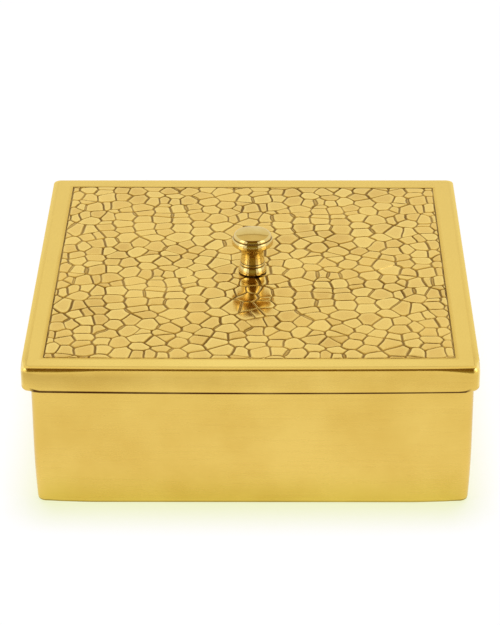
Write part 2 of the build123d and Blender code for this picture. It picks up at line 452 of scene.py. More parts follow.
def makeMetal(name, look, pattern=metalPattern):
    # Grime and painted shade, wear and painted highlights come from the piece's own attributes of those
    # names.
    material = bpy.data.materials.new(name)
    material.use_nodes = True
    tree = material.node_tree
    shader = tree.nodes["Principled BSDF"]
    shader.inputs["Metallic"].default_value = 1.0
    place = addNode(tree, "ShaderNodeTexCoord").outputs["Object"]

    def noise(kind, vector):
        return addNode(tree, "ShaderNodeTexNoise", None,
                       {"Vector": vector, "Scale": 1 / (look[kind + "Size"] * mm),
                        "Detail": pattern[kind + "Detail"], "Roughness": pattern[kind + "Roughness"]})

    def spread(value, fromRange, toRange=(0.0, 1.0)):
        return addNode(tree, "ShaderNodeMapRange", None,
                       {"Value": value, "From Min": fromRange[0], "From Max": fromRange[1],
                        "To Min": toRange[0], "To Max": toRange[1]})

    clouds = noise("cloud", place)
    grain = noise("grain", addNode(tree, "ShaderNodeMapping", {"vector_type": "POINT"},
                                   {"Vector": place, "Scale": look["grainStretch"]}))
    tone = spread(clouds, pattern["cloudRange"])
    streak = spread(grain, pattern["grainRange"])
    uneven = spread(clouds, pattern["markRange"], pattern["markUneven"])
    shine = spread(streak, (0.0, 1.0), look["roughness"])
    colour = addNode(tree, "ShaderNodeMix", {"data_type": "RGBA"},
                     {0: tone, 6: linear(look["cloud"]), 7: linear(look["colour"])})
    # the grime mark also carries painted shade, and the wear mark painted highlights and light
    for mark, kind in (("wearAndSheen", "worn"), ("grimeAndShade", "grimeAndShade")):
        found = addNode(tree, "ShaderNodeAttribute", {"attribute_name": mark})
        share = addNode(tree, "ShaderNodeMath", {"operation": "MULTIPLY", "use_clamp": True},
                        {0: found.outputs["Fac"], 1: uneven})
        colour = addNode(tree, "ShaderNodeMix", {"data_type": "RGBA"},
                         {0: share, 6: colour.outputs[2], 7: linear(look[kind + "Colour"])})
        shine = addNode(tree, "ShaderNodeMix", {"data_type": "FLOAT"},
                        {0: share, 2: shine, 3: look[kind + "Roughness"]})
    bump = addNode(tree, "ShaderNodeBump", None,
                   {"Strength": 1.0, "Distance": look["grainHeight"] * mm, "Height": streak})
    for socket, into in ((colour.outputs[2], "Base Color"), (shine.outputs[0], "Roughness"),
                         (bump.outputs[0], "Normal")):
        tree.links.new(socket, shader.inputs[into])
    return material


# Cast brass, machined and rubbed with fine abrasive: a soft satin sheen with faint level streaks,
# browner in cloudy patches, bright on rubbed edges and dark brown where hands and cloth don't reach,
# with painted highlights on the lid's front corners and border, and painted shade along the foot and on and
# under the lid's rim.
satinBrass = makeMetal("satinBrass", {
    "colour": "#E9C866",
    "cloud": "#DFBB59",
    "cloudSize": 36,
    "grainSize": 1.1,  # real scratches are 0.02 mm apart, drawn as coarse as they show
    "grainStretch": (0.04, 0.04, 1.0),
    "roughness": (0.2, 0.3),
    "grainHeight": 0.003,
    "wornColour": "#FBE086",
    "wornRoughness": 0.12,
    "grimeAndShadeColour": "#4E2A0C",
    "grimeAndShadeRoughness": 0.5,
})

# Die-struck brass: polished cell tops, and grooves that keep their dull brown tarnish.
engravedBrass = makeMetal("engravedBrass", {
    "colour": "#F0CC76",
    "cloud": "#DFBA69",
    "cloudSize": 26,
    "grainSize": 0.9,
    "grainStretch": (1.0, 0.08, 1.0),
    "roughness": (0.1, 0.17),
    "grainHeight": 0.0012,
    "wornColour": "#FFE592",
    "wornRoughness": 0.12,
    "grimeAndShadeColour": "#86641A",
    "grimeAndShadeRoughness": 0.42,
})
print("spice box: brass of the box")


tub = {
    "side": 194.1,
    "height": 66.9,
    "wall": 2.4,
    "floor": 2.4,
    "corner": 5.0,
    "drawIn": (0.9, 30.0),  # the side walls and corners draw in this much at the foot, from this height
    "drawFrom": 0.75,  # how far along the front and back that starts, as a share of the way to the corner
    "footRound": (0.4, 1.0),  # at the middle of a side, and at the corners
    "footFrom": 0.93,
    # painted contact shadow on the foot's round
    "footShade": 0.6,
    "underRows": ((60, 0.3), (20, 0.4), (5, 0.6)),  # inset and grime of the underside's rings
    # height, painted shade and wear of the first rings over the foot, which starts with a painted contact
    # shadow
    "lowRows": ((0.4, 0.4, 0), (1.05, 0, 0.1), (2.1, 0, 0), (4.2, 0, 0)),
    "lowRowGap": 0.05,  # they keep off the foot's round by this share of their height
    "wallRows": 14,
    "rimRound": 0.5,
    "rimWear": 0.8,
    "innerRows": 6,
    "floorRound": 1.0,
    "floorDarkening": 0.35,
    "floorRows": ((7.4, 0.12), (30, 0.05), (70, 0)),  # inset and darkening of the floor's rings, less away from the wall
    "middleGrime": (0.5, 0),  # under the tub's middle and in it
    "shift": (0.83, 0.6),  # the lid has slid this far to the left and to the front of it
    "stops": 60,
    "arcSteps": 8,
}


def makeTub(t):
    inside, high, rim = t["wall"], t["height"], t["rimRound"]
    floorTop, floorRound = t["floor"], t["floorRound"]

    def footSize(place, turn):
        return mix(*t["footRound"], smooth(abs(place), t["footFrom"], 1.0))

    def drawnIn(place, turn, z):
        most, fromHeight = t["drawIn"]
        share = 1 if turn in (1, 3) else smooth(abs(place), t["drawFrom"], 1.0)
        return share * most * max(1 - z / fromHeight, 0) ** 2

    # inset from the outside, height, grime and painted shade, and wear of each ring
    rows = [(e, 0, dark, 0) for e, dark in t["underRows"]]
    for left, up in quarter(6):
        rows.append((lambda p, turn, left=left: footSize(p, turn) * left + drawnIn(p, turn, 0),
                     lambda p, turn, up=up: footSize(p, turn) * up, t["footShade"], 0))
    for z, dark, worn in t["lowRows"]:
        rows.append((lambda p, turn, z=z: drawnIn(p, turn, z),
                     lambda p, turn, z=z: max(z, footSize(p, turn) + t["lowRowGap"] * z), dark, worn))
    for k in range(1, t["wallRows"]):
        z = mix(t["lowRows"][-1][0], high - rim, k / t["wallRows"])
        rows.append((lambda p, turn, z=z: drawnIn(p, turn, z), z, 0, 0))
    edge = roundCorner(rim, high - rim, rim, 180, 90, 4)
    edge += roundCorner(inside - rim, high - rim, rim, 90, 0, 4)
    rows += [(e, z, 0, t["rimWear"]) for e, z in edge]
    for k in range(1, t["innerRows"]):
        rows.append((inside, mix(high - rim, floorTop + floorRound, k / t["innerRows"]), 0, 0))
    bend = roundCorner(inside + floorRound, floorTop + floorRound, floorRound, 180, 270, 4)
    rows += [(e, z, t["floorDarkening"], 0) for e, z in bend]
    rows += [(e, floorTop, dark, 0) for e, dark in t["floorRows"]]
    stops = [[-1 + 2 * k / (t["stops"] - 1) for k in range(t["stops"])]] * 4
    rings = [squareRing(t["side"] / 2, t["corner"], stops, t["arcSteps"], *row[:2], t["shift"])
             for row in rows]
    points, faces = loftRings(rings)
    count = len(rings[0])
    marks = {"grimeAndShade": [row[2] for row in rows for k in range(count)] + list(t["middleGrime"]),
             "wearAndSheen": [row[3] for row in rows for k in range(count)] + [0, 0]}
    return addPiece("boxTub", points, faces, satinBrass, marks)


finishPiece(makeTub(tub), "tub", "box_body", sharp=40)


lid = {
    "side": 200.0,
    "top": 69.3,
    "plate": 2.4,
    "wall": 2.0,
    "corner": 3.6,
    "rimDepth": 12.2,
    "rimBow": 0.3,  # the rim's lower edge is this much lower at the middle of each side
    "rimLift": 0.35,  # and this much higher at the corners
    "liftFrom": 0.97,  # from this share of the way to them
    "frontBow": 0.9,  # the front stands out this much at its middle
    # top edge at the back, the front, and the front's left and right corner
    "edgeRound": (0.5, 1.1, 2.1, 3.0),
    "leftGrow": (0.62, 0.9),  # from where to where along the front the round grows to the left
    "rightGrow": (0.8, 0.2),  # and from where and over how much to the right
    "sideGrow": 0.94,
    "borderRows": (2, 5),  # plain rings, from the frame line outwards
    "creaseInset": 2.3,  # a faint line along the edge, left by the file
    "creaseRows": (0.7, 0.25, 0),  # its rings, further in than the line
    "creaseDepth": 0.01,
    "creaseGrime": (0.02, 0.1),
    "creaseWear": 0.4,
    "borderWearAndLight": (1.0, 0.65, 0.6, 0.42),  # middle and ends of the front, and the sides at front and back: rubbing plus painted light, brighter to the front
    "edgeWear": (0.75, 0.2),  # and how much more round the corners
    # a painted highlight down the outer side of the lid's front corners
    "cornerHighlight": 0.9,
    "wallRows": ((7.5, 1), (6, 1), (4.5, 0.8), (2.5, 0.5), (1.3, 0.2), (0.4, 0)),  # height, share of the painted shade on the rim's face
    "lineRows": ((0.2, 0.3), (0, 1)),  # the same for the painted shadow line over the rim's lower round
    "lineHeight": (0.05, 0.45),  # at the front's right and left corner
    "lineEnd": 0.985,
    "rimShade": (0.04, 0.16),  # painted shade on the rim's face: everywhere, and more to the left
    "lowRound": (0.7, 1.9),  # the rim's lower edge, and at the corners
    "lowFrom": 0.96,
    "lowInner": 0.3,  # the same edge on its inside
    "innerRound": 0.9,
    "innerDarkening": (1, 0.7, 0.2, 0.6),  # painted shade on the lower edge's flat and round; darkening of the wall and the round over it
    "underRows": ((7.0, 0.2), (40, 0.05), (80, 0)),  # inset and darkening of the rings under the plate, less away from the rim
    "frameMargin": 10.4,  # lid's edge to the fine frame line
    "frameWidth": 0.55,
    "frameDepth": 0.4,
    "frameRows": ((0.3, 0.3, 0.8), (0.62, 0.04, 0.2), (1.0, 0, 0)),  # share outwards, of depth, and grime
    # how far the hand-cut frame's corners lie from a true square: front left, front right, back ones
    "frameSkew": ((-1.2, -0.35), (0.1, -0.4), (-0.45, 2.3), (-0.15, 0.8)),
    "holeAt": (0.0, -3.5),
    "holeRadius": 2.25,
    "drillLength": 6,
    "arcSteps": 8,
}

# The struck pattern repeats across and along the lid. Each cell has its middle in mm from one
# repeat's lower left corner, and a weight that widens it against its neighbours.
cells = {
    "repeatX": (76.6, -1.1),
    "repeatY": (0.0, 79.6),
    "start": (-38.0, -40.0),
    "centres": [
        (3.8, 2.9, 8), (3.8, 11, -1), (2.6, 16.6, -8), (1.5, 24.9, 1), (6.2, 33.6, 0), (6.4, 45.7, 0),
        (0.7, 49.6, 0), (2.1, 58.7, 8), (7.6, 64.1, 0), (3.3, 72.4, 8), (14.3, 0.4, 0), (13.8, 7.3, -4),
        (13.3, 16.5, 4), (11, 22.4, -6), (9.6, 26.7, 0), (13.5, 40.2, -5), (8.9, 51.7, -8),
        (12.3, 59.3, 0), (15.6, 67.7, 13), (23, 4.6, -2), (19.9, 14, 6), (17.7, 24, 4), (16.4, 32.7, 0),
        (23.1, 44.9, 8), (16, 47.9, 0), (18, 55, -3), (20.6, 64.5, 14), (22.8, 73.4, -9), (30.6, 0.2, 4),
        (31.5, 14.9, -8), (27.1, 22.1, 0), (30.9, 26.3, -4), (25.7, 28.9, 2), (26.6, 39, 8),
        (26.1, 52.4, 0), (31.2, 53, 0), (28.2, 58.9, 13), (27.8, 65.3, 0),
        (37, 11.7, 4), (33.8, 15.4, 0), (38.8, 15.8, 0), (36.4, 26.3, 0), (33, 31, -8), (34.3, 37.1, 0),
        (33.9, 45.8, 0), (34.3, 60.8, 0), (38.5, 72, 0), (35.6, 79.3, -1), (45.1, 3.8, 0), (44.9, 7.9, -8),
        (44.4, 14, 1), (45.1, 28.2, -9), (43.2, 37.6, 12), (40.8, 42.5, 3), (41.1, 48.8, 0), (41, 56.3, 0),
        (46.5, 56.4, -8), (42, 65.3, 5), (46.4, 66.3, 0), (40, 72.5, 0), (46, 75.4, -8), (52.6, 1.8, -7),
        (51.8, 7.2, 6), (52.8, 15.1, 8), (49.9, 22, -14), (52.1, 22.9, -8), (49.3, 28.4, 8),
        (50.5, 38.2, 7), (55.7, 43.6, 0), (50.5, 44.3, 0), (50.9, 52, -6), (54.4, 62.2, -5),
        (55.1, 70.3, 0), (63.2, 5.1, 3), (62.3, 11.9, 0), (62.2, 19.8, -4), (61, 25.3, 0), (58.2, 35, 8),
        (62.7, 56.5, 3), (62.3, 65.9, 6), (70.8, 13, 5), (71.6, 16.3, 0), (66.1, 32.9, 0), (71.6, 33.2, 0),
        (66.3, 39.8, -13), (67, 50.7, 0), (66.1, 54.7, 0), (68.8, 62.3, 14), (67.4, 70.9, 0),
        (65.3, 76.9, -8), (72.4, 4.3, 0), (72.1, 22.7, 0), (72, 29.4, -6), (75.6, 32.5, 0),
        (76.2, 38, -10), (74.2, 46.9, 0), (76.4, 54.7, 0), (75.1, 65.5, -8), (73.5, 78.6, -2),
    ],
    "seed": 11,
    "pointSpacing": 1.2,
    "wobble": 0.2,  # mm that a groove strays from a straight line
    "ripple": 0.6,  # share of it that goes both ways
    "grooveHalf": (0.43, 0.74),  # half width of the cross grooves and of the lengthways ones
    "grooveDepth": 0.4,
    "crossDepth": 0.8,  # the cross grooves are this much of the depth
    "twinShare": 0.12,  # lengthways grooves struck twice, which leaves a ridge along their middle
    "twinWidth": 1.45,
    "twinFrom": (0.6, 4),  # how nearly lengthways, and how long
    "ridge": 0.9,
    "widthSpread": (0.65, 1.4),
    "depthSpread": (0.75, 1.15),
    "tarnish": (0.55, 1.0),  # of the cross grooves and of the lengthways ones
    "tarnishSpread": (0.8, 1.1),
    "faintShare": 0.12,  # grooves struck faintly, and what they keep of width, depth and tarnish
    "faint": (0.75, 0.6, 0.8),
    "leastLean": 0.6,  # stops a sharp corner of a top from drawing in without end
    "farShare": 0.38,  # and from coming nearer than this to the far side
    "cornerKeep": 0.6,  # what a top's corner keeps of its place when it is softened
    "cornerFact": (0.4, 1.0, 0.0, 1.0),  # half width, depth, ridge and tarnish in the frame's corners
    "brightest": 0.5,  # some cells are rubbed brighter than others, up to this
    # rings from a groove up to the top: share inwards, the same by a struck-twice groove, height,
    # tarnish, share of the cell's own brightness and what is added to it: rubbed edges with a painted
    # highlight
    "slope": ((0.42, 0.6, 0.08, 1.0, 0, 0), (0.74, 0.82, 0.86, 0.35, 1, 0), (1.0, 1.0, 1.0, 0, 1, 0.4)),
    "domeRing": (0.4, 0.64),  # share of the way to a cell's middle, and of the dome's height there
    "tilt": 0.007,
    "dome": 0.015,
    "mergeBelow": 0.9,
    "boundarySpacing": 2.4,
    "margin": 14,  # mm past the frame line that middles are taken from
    "neighbours": (30, 48),  # how far off and how many at most bound a cell
}


def cutByLine(polygon, px, py, nx, ny):
    # keeps the side of the line that the normal points away from
    kept = []
    for k in range(len(polygon)):
        (ax, ay), (bx, by) = polygon[k], polygon[(k + 1) % len(polygon)]
        da = (ax - px) * nx + (ay - py) * ny
        db = (bx - px) * nx + (by - py) * ny
        if da <= 0:
            kept.append((ax, ay))
        if (da < 0 < db) or (db < 0 < da):
            share = da / (da - db)
            kept.append((ax + (bx - ax) * share, ay + (by - ay) * share))
    return kept


def cellMiddles(c, half):
    (ax, ay), (bx, by) = c["repeatX"], c["repeatY"]
    middles = []
    for i in range(-2, 3):
        for j in range(-2, 3):
            for u, v, weight in c["centres"]:
                x = c["start"][0] + u + i * ax + j * bx
                y = c["start"][1] + v + u * ay / ax + i * ay + j * by
                if max(abs(x), abs(y)) < half + c["margin"]:
                    middles.append((x, y, weight))
    return middles


def cellPolygons(c, middles, half):
    # each cell is what its middle holds against all others, cut off at the frame line
    square = [(-half, -half), (half, -half), (half, half), (-half, half)]
    polygons = []
    reach, most = c["neighbours"]
    for sx, sy, sw in middles:
        near = sorted(((px - sx) ** 2 + (py - sy) ** 2, px, py, pw) for px, py, pw in middles
                      if 0 < max(abs(px - sx), abs(py - sy)) < reach)[:most]
        polygon = square
        for gap, px, py, pw in near:
            share = (gap + sw - pw) / (2 * gap)
            polygon = cutByLine(polygon, mix(sx, px, share), mix(sy, py, share), px - sx, py - sy)
            if len(polygon) < 3:
                break
        if len(polygon) >= 3:
            polygons.append(polygon)
    return polygons


def sharedGraph(polygons, half, mergeBelow):
    # corners that lie together become one, and the ones on the frame line stay on it
    corners, loops = [], []

    def onEdge(p):
        return meets(abs(p[0]), half) + meets(abs(p[1]), half)

    for polygon in polygons:
        loop = []
        for p in polygon:
            rank = onEdge(p)
            found = None
            for k, q in enumerate(corners):
                reach = 0.02 if 2 in (rank, q[2]) else mergeBelow
                if abs(q[0] - p[0]) < reach and math.hypot(q[0] - p[0], q[1] - p[1]) < reach:
                    found = k
                    break
            if found is None:
                corners.append((p[0], p[1], rank))
                found = len(corners) - 1
            elif rank > corners[found][2]:
                corners[found] = (p[0], p[1], rank)
            if not loop or loop[-1] != found:
                loop.append(found)
        if len(loop) > 1 and loop[0] == loop[-1]:
            loop.pop()
        if len(loop) >= 3 and len(set(loop)) == len(loop):
            loops.append(loop)
    return [(x, y) for x, y, rank in corners], loops


def farSide(corners, i, dx, dy):
    # distance from a cell's own corner along a direction to the cell's far side
    ox, oy = corners[i]
    best = 99.0
    n = len(corners)
    for k in range(n):
        if k in (i, (i - 1) % n):
            continue
        (ax, ay), (bx, by) = corners[k], corners[(k + 1) % n]
        ex, ey = bx - ax, by - ay
        det = ex * dy - ey * dx
        if abs(det) < 1e-9:
            continue
        t = (ex * (ay - oy) - ey * (ax - ox)) / det
        s = (dx * (ay - oy) - dy * (ax - ox)) / det
        if t > 1e-6 and -0.01 <= s <= 1.01:
            best = min(best, t)
    return best


def topOutline(c, corners, halfWidths):
    # a cell's outline drawn in by the half width of the grooves round it, and softened
    n = len(corners)
    cx = sum(p[0] for p in corners) / n
    cy = sum(p[1] for p in corners) / n
    inner = []
    for i in range(n):
        (ax, ay), (bx, by), (ex, ey) = corners[i - 1], corners[i], corners[(i + 1) % n]
        ux, uy, vx, vy = bx - ax, by - ay, ex - bx, ey - by
        lu, lv = math.hypot(ux, uy) or 1e-6, math.hypot(vx, vy) or 1e-6
        nx, ny = -uy / lu - vy / lv, ux / lu + vx / lv
        size = math.hypot(nx, ny)
        if size < 0.05:
            nx, ny = cx - bx, cy - by
            size = math.hypot(nx, ny)
        nx, ny = nx / size, ny / size
        lean = max(-uy / lu * nx + ux / lu * ny, c["leastLean"])
        reach = min(halfWidths[i] / lean, c["farShare"] * farSide(corners, i, nx, ny))
        inner.append((bx + nx * reach, by + ny * reach))
    keep = c["cornerKeep"]
    give = (1 - keep) / 2
    inner = [tuple(keep * p[k] + give * (inner[i - 1][k] + inner[(i + 1) % n][k]) for k in (0, 1))
             for i, p in enumerate(inner)]
    return inner, cx, cy


def grooveLines(c, points, loops, frameHalf, dice):
    # Adds the points between the cells' corners. Gives each cell's full outline, and the half width,
    # depth, ridge and tarnish of the groove at each point.
    facts = [None] * len(points)
    between, meeting = {}, {}

    def sameSide(p, q):
        return any(meets(p[k], line) and meets(q[k], line)
                   for k in (0, 1) for line in (-frameHalf, frameHalf))

    def grooveFact(length, along, frameEdge):
        # along is 1 for a groove that runs front to back
        halfWidth = mix(*c["grooveHalf"], along) * dice.uniform(*c["widthSpread"])
        depth = mix(c["crossDepth"], 1.0, along) * dice.uniform(*c["depthSpread"])
        tarnish = mix(*c["tarnish"], along) * dice.uniform(*c["tarnishSpread"])
        fate = dice.random()
        if fate < c["faintShare"]:
            narrow, shallow, dull = c["faint"]
            return halfWidth * narrow, depth * shallow, 0.0, tarnish * dull
        leastAlong, leastLength = c["twinFrom"]
        longEnough = along > leastAlong and length > leastLength and not frameEdge
        if fate > 1 - c["twinShare"] and longEnough:
            return halfWidth * c["twinWidth"], depth, c["ridge"], tarnish
        return halfWidth, depth, 0.0, tarnish

    def edgePoints(a, b):
        key = (min(a, b), max(a, b))
        if key not in between:
            p, q = points[key[0]], points[key[1]]
            length = math.hypot(q[0] - p[0], q[1] - p[1])
            frameEdge = sameSide(p, q)
            count = max(1, round(length / c["boundarySpacing" if frameEdge else "pointSpacing"]))
            fact = grooveFact(length, abs(q[1] - p[1]) / max(length, 1e-6), frameEdge)
            bend = dice.gauss(0, c["wobble"])
            ripple = dice.gauss(0, c["wobble"] * c["ripple"])
            nx, ny = -(q[1] - p[1]) / length, (q[0] - p[0]) / length
            ids = []
            for k in range(1, count):
                t = k / count
                stray = 0
                if not frameEdge:
                    stray = bend * math.sin(math.pi * t) + ripple * math.sin(2 * math.pi * t)
                ids.append(len(points))
                points.append((mix(p[0], q[0], t) + nx * stray, mix(p[1], q[1], t) + ny * stray))
                facts.append(fact)
            between[key] = ids
            for end in key:
                meeting.setdefault(end, []).append(fact)
        return between[key] if a == key[0] else between[key][::-1]

    fullLoops = []
    for loop in loops:
        full = []
        for k in range(len(loop)):
            full.append(loop[k])
            full += edgePoints(loop[k], loop[(k + 1) % len(loop)])
        fullLoops.append(full)
    for corner, met in meeting.items():
        facts[corner] = (sum(m[0] for m in met) / len(met), max(m[1] for m in met), 0.0,
                         sum(m[3] for m in met) / len(met))
    return fullLoops, facts


def frameRing(l, c, points, facts, fullLoops, frameHalf):
    # The frame line's ring takes the points that lie on it, side by side, and rounds its corners.
    used = {k for loop in fullLoops for k in loop}
    straight = frameHalf - leastCorner
    sides = []
    for cs, sn in sideTurns:
        found = []
        for k in used:
            x, y = points[k]
            u, v = x * cs + y * sn, -x * sn + y * cs
            if meets(v, -frameHalf) and not meets(abs(u), frameHalf):
                found.append((max(min(u / straight, 0.999), -0.999), k))
        sides.append(sorted(found))
    stops = [[-1.0] + [t for t, k in side] + [1.0] for side in sides]
    frameInset = l["side"] / 2 - frameHalf
    ring = squareRing(l["side"] / 2, l["corner"], stops, l["arcSteps"], frameInset, l["top"])
    known = []
    for side in sides:
        known += [None] + [k for t, k in side] + [None] * l["arcSteps"]
    ringIds = []
    for k, place in zip(known, ring):
        if k is None:
            k = len(points)
            points.append(place[:2])
            facts.append(c["cornerFact"])
        else:
            points[k] = place[:2]
        ringIds.append(k)

    # a cell in the frame's corner follows the ring there, in place of its own sharp corner
    order = {k: i for i, k in enumerate(ringIds)}
    for index, loop in enumerate(fullLoops):
        for spot, k in enumerate(loop):
            x, y = points[k]
            if k not in order and meets(abs(x), frameHalf) and meets(abs(y), frameHalf):
                step, last = order[loop[spot - 1]] + 1, order[loop[(spot + 1) % len(loop)]]
                run = []
                while step % len(ringIds) != last:
                    run.append(ringIds[step % len(ringIds)])
                    step += 1
                fullLoops[index] = loop[:spot] + run + loop[spot + 1:]
                break
    return stops, ringIds


def lidRows(l, frameInset):
    # inset, height, grime and painted shade, and wear and painted highlights of each ring from the frame
    # line outwards, and round under the plate
    def edgeRound(t, turn):
        atBack, atFront, atLeft, atRight = l["edgeRound"]
        if turn == 0 and t < 0:
            return mix(atFront, atLeft, smooth(-t, *l["leftGrow"]))
        if turn == 0:
            start, over = l["rightGrow"]
            return mix(atFront, atRight, min(max((t - start) / over, 0), 1) ** 2)
        toFront = (0, -t, -1, t)[turn]
        return mix(atBack, atLeft if turn == 3 else atRight, smooth(toFront, l["sideGrow"], 1.0))

    def rimLow(t, turn):
        bow = l["rimBow"] * (1 - min(t * t, 1))
        return l["top"] - l["rimDepth"] - bow + l["rimLift"] * smooth(abs(t), l["liftFrom"], 1.0)

    def lowRound(t, turn):
        return mix(*l["lowRound"], smooth(abs(t), l["lowFrom"], 1.0))

    def wallLow(t, turn, above):
        # a height over the rim's lower round and the painted shadow line
        line = mix(*l["lineHeight"], ((1 - t) / 2, 0, 0, (1 + t) / 2)[turn])
        return rimLow(t, turn) + lowRound(t, turn) + line + above

    # painted shadow line along the rim's lower edge, fading out into the corners
    def lineShade(t, turn):
        return 1 - smooth(abs(t), l["lineEnd"], 1.0)

    # painted shade on the rim's face, darker towards the left
    def rimShade(t, turn):
        least, more = l["rimShade"]
        return least + more * ((1 - t) / 2, 0, (1 + t) / 2, 1)[turn] ** 2

    def creaseGrime(t, turn):
        least, most = l["creaseGrime"]
        return most if turn == 0 else mix(least, most, smooth((-t, 0, t)[turn - 1], 0.7, 1))

    def borderWearAndLight(t, turn):
        # rubbed brightest at the middle of the front, with painted light that is brighter at the front than
        # at the back
        middle, end, front, back = l["borderWearAndLight"]
        t = min(t, 1)
        share = (t + 1) / 2
        return (mix(middle, end, abs(t)), mix(front, back, share), back, mix(back, front, share))[turn]

    def edgeWear(t, turn):
        least, more = l["edgeWear"]
        return least + more * smooth(t, 1, 1.3)

    def cornerHighlight(t, turn):
        # past 1 lies the corner: the two front ones get a painted highlight on their outer side
        share = t - 1 if turn == 0 else 2 - t if turn == 3 else 0
        return l["cornerHighlight"] * smooth(share, 0.4, 0.7) if 1 < t < 2 else 0.0

    top, wall, crease = l["top"], l["wall"], l["creaseInset"]
    under = top - l["plate"]
    rows = []
    for share, drop, dark in l["frameRows"]:
        e = frameInset - share * l["frameWidth"] / 2 - 0.05
        rows.append((e, top - l["frameDepth"] * drop, dark, 0))
    rows += [(frameInset - out, top, 0, borderWearAndLight) for out in l["borderRows"]]
    first, *others = l["creaseRows"]
    rows.append((crease + first, top, 0, borderWearAndLight))
    rows += [(crease + e, top - l["creaseDepth"], creaseGrime, l["creaseWear"]) for e in others]
    for k, (left, down) in enumerate(quarter(8)):
        rows.append((lambda t, turn, left=left: min(edgeRound(t, turn), crease - 0.1) * left,
                     lambda t, turn, down=down: top - edgeRound(t, turn) * down,
                     0, edgeWear if k < 5 else cornerHighlight))
    for above, share in l["wallRows"]:
        rows.append((0.0, lambda t, turn, d=above: min(wallLow(t, turn, d),
                                                       top - edgeRound(t, turn) - 0.03 * d),
                     lambda t, turn, k=share: k * rimShade(t, turn), cornerHighlight))
    for above, share in l["lineRows"]:
        rows.append((0.0, lambda t, turn, d=above: wallLow(t, turn, d),
                     lambda t, turn, k=share: k * lineShade(t, turn), 0))
    for up, out in quarter(6):
        rows.append((lambda t, turn, out=out: lowRound(t, turn) * out,
                     lambda t, turn, up=up: rimLow(t, turn) + lowRound(t, turn) * up, lineShade, 0))
    flatShade, roundShade, wallDarkening, bendDarkening = l["innerDarkening"]
    rows.append((wall - l["lowInner"], rimLow, flatShade, 0))
    for left, up in quarter(3)[1:]:
        rows.append((wall - l["lowInner"] * left,
                     lambda t, turn, up=up: rimLow(t, turn) + l["lowInner"] * up, roundShade, 0))
    rows.append((wall, lambda t, turn: mix(rimLow(t, turn), under, 0.5), wallDarkening, 0))
    for left, out in quarter(4):
        rows.append((wall + l["innerRound"] * out, under - l["innerRound"] * left, bendDarkening, 0))
    rows += [(e, under, dark, 0) for e, dark in l["underRows"]]
    return rows


def leanTop(l, vertices, frameHalf):
    # The whole top leans with the hand-cut frame, and less and less of it towards the lid's edge.
    skew = l["frameSkew"]
    for k, (x, y, z) in enumerate(vertices):
        if z > l["top"] - 0.6:
            u, v = (max(min(c / frameHalf, 1), -1) for c in (x, y))
            shares = [(1 + a * u) * (1 + b * v) / 4 for b in (-1, 1) for a in (-1, 1)]
            start, end = frameHalf + 0.6, l["side"] / 2 - l["creaseInset"]
            hold = 1 - smooth(max(abs(x), abs(y)), start, end)
            x += hold * sum(w * d[0] for w, d in zip(shares, skew))
            y += hold * sum(w * d[1] for w, d in zip(shares, skew))
        bow = l["frontBow"] * (2 * x / l["side"]) ** 2 * max(-2 * y / l["side"], 0)
        vertices[k] = (x, y + bow, z)


